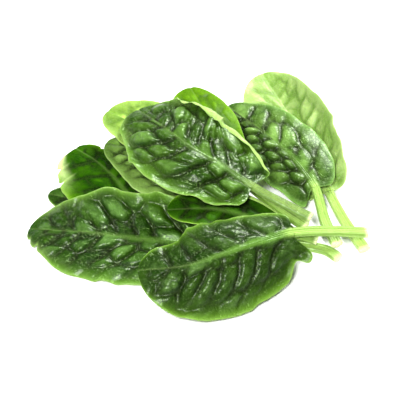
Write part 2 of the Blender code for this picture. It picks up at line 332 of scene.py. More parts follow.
# Painted highlight: a blister's crest is its light green brightened by CREST_GAIN, less on leaves that are
# pale already, with some painted grey sheen. Swell runs from 0 in a crease to 1 on a crest: colour darkens
# below VALLEY_TOP as painted shade and brightens above CREST_BOTTOM as painted highlight. The limits are
# where soft noise starts to show and where it shows in full.
CREST_GAIN = 2.0
CREST_GAIN_LOSS = 1.3
CREST_SHEEN = 0.13
RIB_GAIN = 1.25
STREAK_SHADE = 0.72
PATCH_LIMITS = (0.35, 0.70)
RAGGED_LIMITS = (0.3, 0.6)
VALLEY_TOP = 0.45
CREST_BOTTOM = 0.5
CREST_STRENGTH = 1.5

# How far each layer of colour covers what is below it, and how closely the ones at the margin keep to it.
NET_COVER = 0.22
UNDERSIDE_COVER = 0.8
MARGIN_GLOW_COVER = 0.7
RIM_GLOW_COVER = 0.6
VEIN_COVER = 0.10
HEM_TIGHTNESS = 5.0
MARGIN_TIGHTNESS = 12.0
RIM_TIGHTNESS = 60.0

# Noise scales, in features per metre, from broad patches to the grain of the skin.
PATCH_SCALE = 70.0
CREST_SCALE = 90.0
RAGGED_SCALE = 110.0
DULL_SCALE = 140.0
STREAK_SCALE = 260.0
NET_SCALE = 420.0
GRAIN_SCALE = 420.0
NET_LINE = 0.12

# The skin's relief in metres, its gloss and the light that soaks through it.
BUMP_STRENGTH = 0.5
NET_RELIEF = 0.0004
GRAIN_RELIEF = 0.0006
SMOOTHER, ROUGHER, UNDERSIDE_ROUGHER = 0.1, 0.08, 0.2
SPECULAR = 0.20
SPECULAR_TINT = (0.6, 1.0, 0.28, 1)
COAT = 0.14
COAT_ROUGHNESS = 0.28
SOAK_RADIUS = (0.7, 1.0, 0.25)
SOAK_SCALE = 0.0012

# Lateral veins leave the midrib this far forward for each millimetre outwards, and bend forward further on.
# Across the slanting veins, a step along the midrib is shorter. Noise makes veins and blisters drift.
VEIN_SLANT = 0.55
VEIN_BEND = 0.006
ACROSS_VEINS = 0.85
VEIN_DRIFT = 2.4
CELL_DRIFT = 2.0

# A blade's fold and curl come in over these parts of its length, and its lobes lie near its base.
FOLD_START = 0.18
FOLD_END = 0.25
LOBE_PLACE = 0.08
LOBE_BEND = 1.6
COLUMN_CROWDING = 1.35

# The ridge and groove of the petiole fade out over these parts of the blade.
RIDGE_FADE = 0.15
GROOVE_FADE = 0.3
GROOVE_SHARE = 0.5

# The hem starts this far out and turns over this share of the half-width.
HEM_START = 0.80
HEM_TURN = 0.08

# Blisters are cells of a jittered grid. A second, finer set lies on top of them, out of step with the first.
CELL_JITTER = (0.2, 0.4)
CELL_STRENGTHS = (0.3, 1.2)
CREASE_SOFTNESS = 1.3
DOME_SHARE = 0.42
DOME_FULLNESS = 2.2
CREASE_WIDTH = 1.3
CREASE_DEPTH = 0.5
FIRST_CELL = (20, 3)
SMALL_CELL = (0.4, 0.38)
SMALL_START = 50
SMALL_SLANT = 0.5
SMALL_DOME_SHARE = 0.16
SMALL_DOME_HEIGHT = 0.16
GRAIN_HEIGHT = 0.05
GRAIN_LENGTH = 1.6
RELIEF_BASE = 0.3

# The relief starts 1 mm from the blade's base and is full 8 mm on, and it fades out in the last part of the
# tip, beside the midrib, and from half-way out to the margin as far as the leaf's calm says.
RELIEF_START, RELIEF_RISE = 1, 8
TIP_FADE = 0.14
RIB_CLEARANCE = 2.0
CALM_START, CALM_REACH = 0.5, 0.45

# The veins' half-widths, and how strongly they show. They fade by VEIN_FADE from the midrib to the margin.
MAIN_VEIN = 0.45
CREASE_VEIN, CREASE_VEIN_SHOW = 0.5, 0.35
SMALL_VEIN, SMALL_VEIN_SHOW = 0.35, 0.15
VEIN_SHOW = 0.5
VEIN_FADE = 0.7

# The stalk's fine ridges, the sunken midrib, the raised veins underneath and the thinner rim.
RIDGE_WAVES = 14
RIDGE_HEIGHT = 0.16
FINE_RIDGE_FADE = 0.4
RIB_SINK = 0.45
VEIN_RISE = 0.25
RIM_START = 0.94
RIM_THINNING = 0.5

# Where the stalk's colour ends on the blade, where the midrib's fades, where the painted light through the
# tip starts, along the blade and outwards, and how much of the stalk's end shows the paler cut, in
# millimetres.
STALK_COLOUR_END = 0.10
RIB_COLOUR_START, RIB_COLOUR_FADE = 0.25, 0.6
BACKLIT_START, BACKLIT_OUTWARD = 0.6, 0.55
BACKLIT_RISE = 0.4
CUT_BAND = 2.5

FLOOR_REACH = 3.0
FLOOR_WHITE = (0.93, 0.93, 0.93, 1)
FLOOR_ROUGHNESS = 0.6

# Light from all round, and square panels: name, place and side in metres, and watts.
WORLD_LIGHT = 0.20
PANELS = (
    ("back_panel", (0.35, 0.70, 0.80), 0.3, 19),
    ("left_panel", (-0.80, 0.10, 0.60), 0.25, 2.5),
    ("front_panel", (-0.15, -0.70, 0.90), 0.2, 17),
)

CAMERA_DISTANCE = 800.0
CAMERA_ELEVATION = 45.0
CAMERA_AIM = (0.0, 0.0, 12.0)
CAMERA_LENS = 120.0
CAMERA_SENSOR = 36.0


def smooth_step(x):
    x = np.clip(x, 0.0, 1.0)
    return x * x * (3.0 - 2.0 * x)


def catmull_rom(a, b, c, d, t):
    """The smooth curve from b to c at t, with a before them and d after."""
    return (2 * b + (c - a) * t + (2 * a - 5 * b + 4 * c - d) * t**2 + (3 * b - a - 3 * c + d) * t**3) / 2


def curve_through(points):
    """A Catmull-Rom curve through the points, with CURVE_SPANS steps between neighbours."""
    points = np.array(points, float)
    held = np.vstack([2 * points[0] - points[1], points, 2 * points[-1] - points[-2]])
    t = (np.arange(CURVE_SPANS) / CURVE_SPANS)[:, None]
    stretches = [catmull_rom(a, b, c, d, t) for a, b, c, d in zip(held, held[1:], held[2:], held[3:])]
    return np.vstack([*stretches, points[-1:]])


def midrib_rows(leaf, petiole_rows, blade_rows):
    """Places and directions along the midrib, with s, which is 0 on the petiole and runs to 1 at the tip."""
    line = curve_through([*leaf["petiole"], *leaf["blade"]])
    steps = np.linalg.norm(np.diff(line, axis=0), axis=1)
    along = np.concatenate([[0.0], np.cumsum(steps)])
    base = along[(len(leaf["petiole"]) - 1) * CURVE_SPANS]
    stalk = np.arange(petiole_rows) / petiole_rows
    s = (1 - np.cos(math.pi * np.arange(blade_rows + 1) / blade_rows)) / 2
    rows = np.concatenate([stalk * base, base + s * (along[-1] - base)])
    directions = np.gradient(line, along, axis=0)
    place = np.stack([np.interp(rows, along, line[:, i]) for i in range(3)], 1)
    tangent = np.stack([np.interp(rows, along, directions[:, i]) for i in range(3)], 1)
    tangent /= np.linalg.norm(tangent, axis=1, keepdims=True)
    to_base = np.concatenate([stalk, np.ones(blade_rows + 1)])
    return place, tangent, np.concatenate([np.zeros(petiole_rows), s]), to_base, rows


def half_section(s, outline, fold, curl, rim, wave, hem, share, steps):
    """How far out and up one half of each cross-section goes, per unit of half-width, and at what angle."""
    tau = np.linspace(0, 1, steps)
    folded = fold * smooth_step(s / FOLD_START) * smooth_step((1 - s) / FOLD_END)
    curled = curl * outline * smooth_step(s / FOLD_START)
    rolled = rim * np.sin(math.pi * s) ** 0.5
    angle = np.radians(folded[:, None] + curled[:, None] * tau + rolled[:, None] * smooth_step(tau * 5 - 4))
    angle += np.radians(wave)[:, None] * smooth_step(tau * 1.8 - 0.8)
    angle += np.radians(hem)[:, None] * smooth_step((tau - HEM_START) / HEM_TURN)
    step = tau[1]
    middle = (angle[:, 1:] + angle[:, :-1]) / 2
    out = np.concatenate([np.zeros((len(s), 1)), np.cumsum(np.cos(middle), axis=1) * step], axis=1)
    up = np.concatenate([np.zeros((len(s), 1)), np.cumsum(np.sin(middle), axis=1) * step], axis=1)
    tables = (out, up, angle)
    return [np.stack([np.interp(share[r], tau, table[r]) for r in range(len(s))]) for table in tables]


def value_noise(x, y, seed):
    """Smooth noise between -1 and 1 that changes over a distance of about 1."""
    table = np.random.default_rng(seed).uniform(-1, 1, (64, 64))
    i, j = np.floor(x).astype(int), np.floor(y).astype(int)
    u, v = smooth_step(x - i), smooth_step(y - j)
    near = table[i % 64, j % 64] * (1 - u) + table[(i + 1) % 64, j % 64] * u
    far = table[i % 64, (j + 1) % 64] * (1 - u) + table[(i + 1) % 64, (j + 1) % 64] * u
    return near * (1 - v) + far * v


def margin_detail(look, side, s, along):
    """How one margin strays, waves and rolls over: a factor on the half-width, and two angles."""
    seed = look["seed"] + side

    def wavering(length, lane):
        """Noise that changes over that many millimetres. Each use reads its own lane of the table."""
        return value_noise(along / length, np.full(len(s), lane), seed)

    wander = 1 + look["wander"] * (wavering(16, 0.0) + 0.35 * wavering(5, 7.0)) * smooth_step(s / 0.1)
    for at, depth, width in look.get("nicks", ((), ()))[side]:
        wander -= depth * np.exp(-(((s - at) / width) ** 2))
    swing = wavering(13, 21.0) + 0.5 * wavering(6, 31.0)
    wave = look["wave"] * swing * smooth_step(s / 0.15) * smooth_step((1 - s) / 0.05)
    hem = look["hem"][side] * smooth_step(s / 0.12) * smooth_step((0.92 - s) / 0.15)
    return wander, wave, hem * (0.8 + 0.2 * wavering(9, 51.0))


def leaf_shape(leaf, petiole_rows, blade_rows, side_columns, steps, look=None):
    """The leaf as a sheet of points with no thickness, and what the faces are built from."""
    place, tangent, s, to_base, along = midrib_rows(leaf, petiole_rows, blade_rows)
    world_up = np.array([0.0, 0.0, 1.0])
    normal = world_up - (tangent @ world_up)[:, None] * tangent
    normal /= np.linalg.norm(normal, axis=1, keepdims=True)
    across = np.cross(tangent, normal)
    roll = np.radians(np.interp(s, [0, 1], leaf["roll"]) * smooth_step(to_base))[:, None]
    right = across * np.cos(roll) + normal * np.sin(roll)
    upward = normal * np.cos(roll) - across * np.sin(roll)

    shift, bluntness = leaf["outline"]
    outline = np.clip(np.sin(math.pi * s**shift), 0, 1) ** bluntness
    rib = np.interp(to_base + s, [0, 1, 2], [CUT_HALF_WIDTH, PETIOLE_HALF_WIDTH, RIB_TIP_HALF_WIDTH])
    q = np.linspace(-1, 1, 2 * side_columns + 1)
    crowding = np.where(s > 0, COLUMN_CROWDING, 1.0)[:, None]
    share = np.abs(q)[None, :] ** crowding
    centre = np.zeros((len(s), len(q), 3))
    face_up = np.zeros_like(centre)
    distance = np.zeros((len(s), len(q)))
    blade_along = along - along[petiole_rows]
    for side, columns in ((0, q <= 0), (1, q > 0)):
        sign = 1.0 if side else -1.0
        wander, wave, hem = 1.0, np.zeros(len(s)), np.zeros(len(s))
        if look:
            wander, wave, hem = margin_detail(look, side, s, blade_along)
        width = np.hypot(rib, leaf["half_width"][side] * outline * wander)[:, None]
        bends = (leaf[bend][side] for bend in ("fold", "curl", "rim"))
        out, up, angle = half_section(s, outline, *bends, wave, hem, share[:, columns], steps)
        centre[:, columns] = (
            place[:, None]
            + (sign * out * width)[..., None] * right[:, None]
            + (up * width)[..., None] * upward[:, None]
        )
        face_up[:, columns] = (
            np.cos(angle)[..., None] * upward[:, None] - (sign * np.sin(angle))[..., None] * right[:, None]
        )
        distance[:, columns] = share[:, columns] * width
    swept = (s / LOBE_PLACE) * np.exp(1 - s / LOBE_PLACE)
    lobes = np.where(q > 0, leaf["lobe"][1], leaf["lobe"][0]) * np.abs(q) ** LOBE_BEND
    centre -= (swept[:, None] * lobes)[..., None] * tangent[:, None]
    return SimpleNamespace(
        centre=centre, face_up=face_up, distance=distance, share=share, s=s, q=q, rib=rib,
        to_base=to_base, along=along, blade_along=blade_along,
    )


def plain_faces(shape):
    """The upper and lower faces of the plain CAD leaf."""
    s, distance, rib = shape.s, shape.distance, shape.rib[:, None]
    bulge = np.sqrt(np.clip(1 - (distance / rib) ** 2, 0, 1))
    top_height = PETIOLE_TOP * (1 - smooth_step(s / RIDGE_FADE))[:, None]
    groove = PETIOLE_GROOVE * np.exp(-((distance / rib / GROOVE_SHARE) ** 2))
    groove = groove * (1 - smooth_step(s / GROOVE_FADE))[:, None]
    bottom_depth = np.interp(s, [0, 1], [PETIOLE_BOTTOM, RIB_TIP_DEPTH])[:, None]
    half = BLADE_THICKNESS / 2
    top = shape.centre + (half + top_height * bulge - groove * bulge)[..., None] * shape.face_up
    bottom = shape.centre - (half + bottom_depth * bulge)[..., None] * shape.face_up
    return top, bottom


def blister_cells(x, y, spacing, outward, seed):
    """How deep each point lies inside its blister, from the crease around it, and the blister's strength."""
    rng = np.random.default_rng(seed)
    jitter = rng.uniform(-1, 1, (2, 64, 64)) * np.array(CELL_JITTER)[:, None, None]
    strengths = rng.uniform(*CELL_STRENGTHS, (64, 64))

    def centre(i, j):
        a, b = i % 64, j % 64
        return (i + 0.5 + jitter[0, a, b]) * spacing, (j + 0.5 * (a % 2) + 0.5 + jitter[1, a, b]) * outward

    i, j = np.floor(x / spacing).astype(int), np.floor(y / outward).astype(int)
    around = [(di, dj) for di in (-1, 0, 1) for dj in (-2, -1, 0, 1, 2)]
    centres = [centre(i + di, j + dj) for di, dj in around]
    reach = np.stack([np.hypot(centre_x - x, centre_y - y) for centre_x, centre_y in centres])
    own = np.array(around)[reach.argmin(axis=0)]
    own_i, own_j = i + own[..., 0], j + own[..., 1]
    home_x, home_y = centre(own_i, own_j)
    crowd = np.zeros(x.shape)
    for di, dj in around:
        if (di, dj) != (0, 0):
            next_x, next_y = centre(own_i + di, own_j + dj)
            apart = np.hypot(next_x - home_x, next_y - home_y)
            to_next = (x - next_x) ** 2 + (y - next_y) ** 2
            to_home = (x - home_x) ** 2 + (y - home_y) ** 2
            crowd += np.exp(-CREASE_SOFTNESS * (to_next - to_home) / (2 * apart))
    return np.maximum(-np.log(crowd) / CREASE_SOFTNESS, 0), strengths[own_i % 64, own_j % 64]


def surface_detail(look, shape):
    """Puckers and veins: how far each point is lifted, how much vein shows and how swollen it is."""
    x = np.broadcast_to(shape.blade_along[:, None], shape.distance.shape)
    lift = np.zeros(x.shape)
    vein = np.zeros(x.shape)
    swell = np.zeros(x.shape)
    for side, columns in ((0, shape.q <= 0), (1, shape.q > 0)):
        halves = half_detail(look, shape, x[:, columns], columns, side)
        lift[:, columns], vein[:, columns], swell[:, columns] = halves
    return lift, np.clip(vein, 0, 1), np.clip(swell, 0, 1)


def half_detail(look, shape, x, columns, side):
    """surface_detail's three results for one half of the leaf."""
    y = shape.distance[:, columns]
    share = shape.share[:, columns]
    seed = look["seed"] * 10 + side * 5
    spacing, outward = look["cell"][side]
    slanted = x - VEIN_SLANT * y - VEIN_BEND * y**2
    slanted = slanted + VEIN_DRIFT * value_noise(x / 15 + 3, y / 15 + 20, seed)
    shifted = y + CELL_DRIFT * value_noise(x / 13 + 9, y / 13 + 30, seed + 1)
    depth, strength = blister_cells(
        slanted + FIRST_CELL[0] * spacing, shifted + FIRST_CELL[1] * outward, spacing, outward, seed + 2
    )
    rank = slanted / spacing
    off_vein = np.abs(rank - np.round(rank)) * spacing * ACROSS_VEINS
    dome = 1 - np.clip(1 - depth / (DOME_SHARE * min(spacing, outward)), 0, 1) ** DOME_FULLNESS

    on_blade = smooth_step((x - RELIEF_START) / RELIEF_RISE) * smooth_step((1 - shape.s[:, None]) / TIP_FADE)
    clear_of_rib = 1 - np.exp(-((y / (shape.rib[:, None] + RIB_CLEARANCE)) ** 2))
    toward_edge = 1 - look["calm"] * smooth_step((share - CALM_START) / CALM_REACH)
    crease = np.exp(-((off_vein / CREASE_WIDTH) ** 2)) * (1 - VEIN_FADE * share)
    small_spacing, small_outward = SMALL_CELL[0] * spacing, SMALL_CELL[1] * outward
    small_x, small_y = slanted + SMALL_START + SMALL_SLANT * shifted, shifted + SMALL_START
    small_depth, small_strength = blister_cells(small_x, small_y, small_spacing, small_outward, seed + 3)
    small_dome = 1 - np.clip(1 - small_depth / (SMALL_DOME_SHARE * min(spacing, outward)), 0, 1) ** 2
    grain = GRAIN_HEIGHT * value_noise(x / GRAIN_LENGTH + 2, y / GRAIN_LENGTH + 40, seed + 4)
    relief = strength * dome - CREASE_DEPTH * crease - RELIEF_BASE
    relief = relief + SMALL_DOME_HEIGHT * small_strength * small_dome + grain
    lift = look["pucker"][side] * on_blade * clear_of_rib * toward_edge * relief

    main = np.exp(-((off_vein / MAIN_VEIN) ** 2)) * (1 - VEIN_FADE * share)
    small = np.exp(-((depth / CREASE_VEIN) ** 2)) * CREASE_VEIN_SHOW
    small = small + np.exp(-((small_depth / SMALL_VEIN) ** 2)) * SMALL_VEIN_SHOW
    rib_line = np.exp(-((y / (0.25 + 0.42 * shape.rib[:, None])) ** 4))
    swell = 0.75 * strength * dome + 0.25 * small_dome - CREASE_DEPTH * crease
    swell = 0.5 + (swell - 0.5) * on_blade * toward_edge
    return lift, np.maximum(np.maximum(main, small) * VEIN_SHOW * on_blade, rib_line), swell


def detailed_faces(look, shape):
    """The upper and lower faces of the fine leaf, and the pattern its material reads."""
    s, distance, rib = shape.s[:, None], shape.distance, shape.rib[:, None]
    lift, vein, swell = surface_detail(look, shape)
    bulge = np.sqrt(np.clip(1 - (distance / rib) ** 2, 0, 1))
    stalk = 1 - smooth_step(s / RIDGE_FADE)
    round_rib = np.arcsin(np.clip(distance / rib, 0, 1)) * np.sign(shape.q)[None, :]
    ridges = np.cos(RIDGE_WAVES * round_rib)
    ridge_height = RIDGE_HEIGHT * ridges * (1 - smooth_step(s / FINE_RIDGE_FADE)) * bulge
    groove = PETIOLE_GROOVE * np.exp(-((distance / rib / GROOVE_SHARE) ** 2))
    groove = groove * (1 - smooth_step(s / GROOVE_FADE))
    rib_sink = RIB_SINK * np.exp(-((distance / (rib * 0.8 + 0.6)) ** 2)) * smooth_step((s - 0.12) / 0.2)
    thin = 1 - RIM_THINNING * smooth_step((shape.share - RIM_START) / (1 - RIM_START)) * (s > 0)
    skin = np.interp(s, [0, 0.1], [BLADE_THICKNESS, SKIN_THICKNESS]) / 2 * thin
    above = skin + (PETIOLE_TOP * stalk - groove + ridge_height) * bulge - rib_sink
    bottom_depth = np.interp(s, [0, 1], [PETIOLE_BOTTOM, RIB_TIP_DEPTH])
    below = skin + (bottom_depth + ridge_height) * bulge + VEIN_RISE * vein * (1 - bulge) * (s > 0)
    top = shape.centre + (lift + above)[..., None] * shape.face_up
    bottom = shape.centre + (lift - below)[..., None] * shape.face_up
    return top, bottom, vein, swell


def finer(grid, k):
    """A grid of points with k straight steps between neighbours."""
    rows = np.arange((grid.shape[0] - 1) * k + 1) / k
    columns = np.arange((grid.shape[1] - 1) * k + 1) / k
    r = np.minimum(rows.astype(int), grid.shape[0] - 2)
    c = np.minimum(columns.astype(int), grid.shape[1] - 2)
    fr = (rows - r)[:, None, None]
    fc = (columns - c)[None, :, None]
    upper = grid[r][:, c] * (1 - fc) + grid[r][:, c + 1] * fc
    lower = grid[r + 1][:, c] * (1 - fc) + grid[r + 1][:, c + 1] * fc
    return upper * (1 - fr) + lower * fr


def empty_pile():
    """A map of the table: the pile's height over each cell, in millimetres."""
    cells = int(2 * MAP_REACH / CELL)
    return np.zeros((cells, cells))


def cells_under(points):
    """The cell of the map that each point is over."""
    cells = np.round((points[..., :2] + MAP_REACH) / CELL).astype(int)
    return np.clip(cells, 0, int(2 * MAP_REACH / CELL) - 1)


def resting_tilt(top, bottom, need):
    """The tilt, as a rise at each grid point, that lets a stiff leaf lie as low as it can on the pile."""
    spacing = np.cross(np.gradient(top, axis=0), np.gradient(top, axis=1))
    mass = np.linalg.norm(spacing, axis=2) * np.linalg.norm(top - bottom, axis=2) ** 2
    arms = top[..., :2] - (top[..., :2] * mass[..., None]).sum(axis=(0, 1)) / mass.sum()
    best = np.zeros(2)
    span = STEEPEST_TILT
    for _ in range(TILT_ROUNDS):
        steps = np.linspace(-span, span, 9)
        tries = best + np.stack(np.meshgrid(steps, steps), axis=-1).reshape(-1, 2)
        tries = np.clip(tries, -STEEPEST_TILT, STEEPEST_TILT)
        heights = (need[None] - np.einsum("rck,tk->trc", arms, tries)).max(axis=(1, 2))
        best = tries[heights.argmin()]
        span *= 0.5
    return arms @ best


def settle(top, bottom, along, pile):
    """How far each grid point rises or sinks so that the leaf rests on the pile and bends over it."""
    k = SAMPLES_PER_CELL
    needed = None
    for face in (top, bottom):
        points = finer(face, k)
        cells = cells_under(points)
        below = pile[cells[..., 0], cells[..., 1]]
        clearance = np.where(below > 0, LEAF_GAP, 0.0)
        short = below + clearance - points[..., 2]
        needed = short if needed is None else np.maximum(needed, short)
    padded = np.pad(needed, k, constant_values=FREE)
    windows = np.lib.stride_tricks.sliding_window_view(padded, (2 * k + 1, 2 * k + 1))[::k, ::k]
    need = windows.max(axis=(2, 3))

    tilted = resting_tilt(top, bottom, need)
    need = need - tilted
    d_row = np.maximum(np.diff(along), CLOSEST_ROWS)
    ahead = (1 / np.concatenate([d_row, d_row[-1:]]) ** 2)[:, None]
    behind = (1 / np.concatenate([d_row[:1], d_row]) ** 2)[:, None]
    column_gap = np.linalg.norm(np.diff(top, axis=1), axis=2).mean(axis=1)
    narrow = column_gap < NARROW
    sideways = (1 / np.maximum(column_gap, NARROW) ** 2)[:, None]
    lift = np.full(need.shape, need.max())
    for _ in range(SETTLING_ROUNDS):
        p = np.pad(lift, 1, mode="edge")
        pull = p[2:, 1:-1] * ahead + p[:-2, 1:-1] * behind + (p[1:-1, 2:] + p[1:-1, :-2]) * sideways
        lift = np.maximum(need, (pull - WEIGHT) / (ahead + behind + 2 * sideways))
        lift[narrow] = lift[narrow].max(axis=1, keepdims=True)
    lift += tilted
    spare = finer(lift[..., None], k)[..., 0] - needed
    return lift - spare.min()


def heap(top, bottom, pile, samples, spread_cells):
    """Adds a leaf to the map of the pile: the highest point over each cell, spread to the cells around."""
    own = np.zeros_like(pile)
    for face in (top, bottom):
        points = finer(face, samples).reshape(-1, 3)
        cells = cells_under(points)
        np.maximum.at(own, (cells[:, 0], cells[:, 1]), points[:, 2])
    reach = 2 * spread_cells + 1
    padded = np.pad(own, spread_cells)
    spread = np.lib.stride_tricks.sliding_window_view(padded, (reach, reach)).max(axis=(2, 3))
    np.maximum(pile, spread, out=pile)


def smooth_resample(grid, rows, columns):
    """A coarse grid read at fractional rows and columns along smooth curves."""
    for axis, at in ((0, rows), (1, columns)):
        grid = np.moveaxis(grid, axis, 0)
        last = len(grid) - 1
        i = np.clip(np.floor(at).astype(int), 0, last - 1)
        around = (grid[np.clip(i + k, 0, last)] for k in (-1, 0, 1, 2))
        grid = np.moveaxis(catmull_rom(*around, (at - i)[:, None]), 0, axis)
    return grid


def settled_lift(coarse_lift, shape):
    """The coarse leaf's settling, carried over to the fine grid."""
    blade_row = BLADE_ROWS * np.arccos(np.clip(1 - 2 * shape.s, -1, 1)) / math.pi
    rows = np.where(shape.to_base < 1, shape.to_base * PETIOLE_ROWS, PETIOLE_ROWS + blade_row)
    columns = (shape.q + 1) * SIDE_COLUMNS
    return smooth_resample(coarse_lift, rows, columns)


def ease_clear(top, bottom, shape, pile):
    """How far the fine leaf's points rise, smoothly, to clear the fine leaves already laid."""
    needed = np.full(top.shape[:2], FREE)
    for face in (top, bottom):
        cells = cells_under(face)
        below = pile[cells[..., 0], cells[..., 1]]
        needed = np.maximum(needed, below + np.where(below > 0, FINE_GAP, 0.0) - face[..., 2])
    k = EASING_BLOCK
    padded = np.pad(needed, k, constant_values=FREE)
    windows = np.lib.stride_tricks.sliding_window_view(padded, (2 * k + 1, 2 * k + 1))[::k, ::k]
    need = windows.max(axis=(2, 3))
    lift = np.maximum(need, 0)
    for _ in range(EASING_ROUNDS):
        p = np.pad(lift, 1, mode="edge")
        near = (p[2:, 1:-1] + p[:-2, 1:-1] + p[1:-1, 2:] + p[1:-1, :-2]) / 4
        lift = np.maximum(need, near * EASING_HOLD)
    rows = np.arange(top.shape[0]) / k
    columns = np.arange(top.shape[1]) / k
    fine = smooth_resample(lift, rows, columns)
    stalk = shape.to_base < 1
    fine[stalk] = fine[stalk].max(axis=1, keepdims=True)
    return fine


def leaf_mesh(name, look, shape, top, bottom, vein, swell):
    """One closed mesh of rings around the leaf, with the pattern stored at its points."""
    rings = np.concatenate([top, bottom[:, ::-1]], axis=1)
    rows, count = rings.shape[:2]
    i = np.arange(count)
    j = (i + 1) % count
    start = (np.arange(rows - 1) * count)[:, None]
    sides = np.stack([start + i, start + j, start + count + j, start + count + i], axis=2).reshape(-1, 4)
    c = np.arange(count // 2 - 1)
    cap = np.stack([c, c + 1, count - 2 - c, count - 1 - c], axis=1)
    faces = np.concatenate([sides, cap[:, ::-1], cap + (rows - 1) * count])
    mesh = bpy.data.meshes.new(name)
    mesh.from_pydata((rings.reshape(-1, 3) * MM).tolist(), [], faces.tolist())
    mesh.validate()
    mesh.shade_smooth()

    def store(label, upper, lower):
        values = np.concatenate([upper, lower[:, ::-1]], axis=1).astype(np.float32).ravel()
        mesh.attributes.new(label, "FLOAT", "POINT").data.foreach_set("value", values)

    flat = np.ones(top.shape[:2])
    on_rib = np.exp(-((shape.distance / shape.rib[:, None]) ** 4))
    stalk = on_rib * (1 - smooth_step(shape.s / STALK_COLOUR_END))[:, None]
    rib = on_rib * (1 - smooth_step((shape.s - RIB_COLOUR_START) / RIB_COLOUR_FADE))[:, None]
    cut = (1 - smooth_step(shape.along / CUT_BAND))[:, None] * flat
    # Painted light shining through the tip, more on one side than the other.
    backlit_sides = np.where(shape.q > 0, look["backlit_tip"][1], look["backlit_tip"][0])
    outward = smooth_step((shape.share - BACKLIT_OUTWARD) / BACKLIT_RISE)
    tip = smooth_step((shape.s[:, None] - BACKLIT_START) / BACKLIT_RISE) * outward * backlit_sides
    store("vein", vein, vein)
    store("swell", swell, flat - swell)
    store("under", flat * 0, flat)
    store("stalk", stalk, stalk)
    store("rib", rib, rib)
    store("cut", cut, cut)
    store("edge", shape.share * flat, shape.share * flat)
    store("tip", tip, tip)
    return mesh


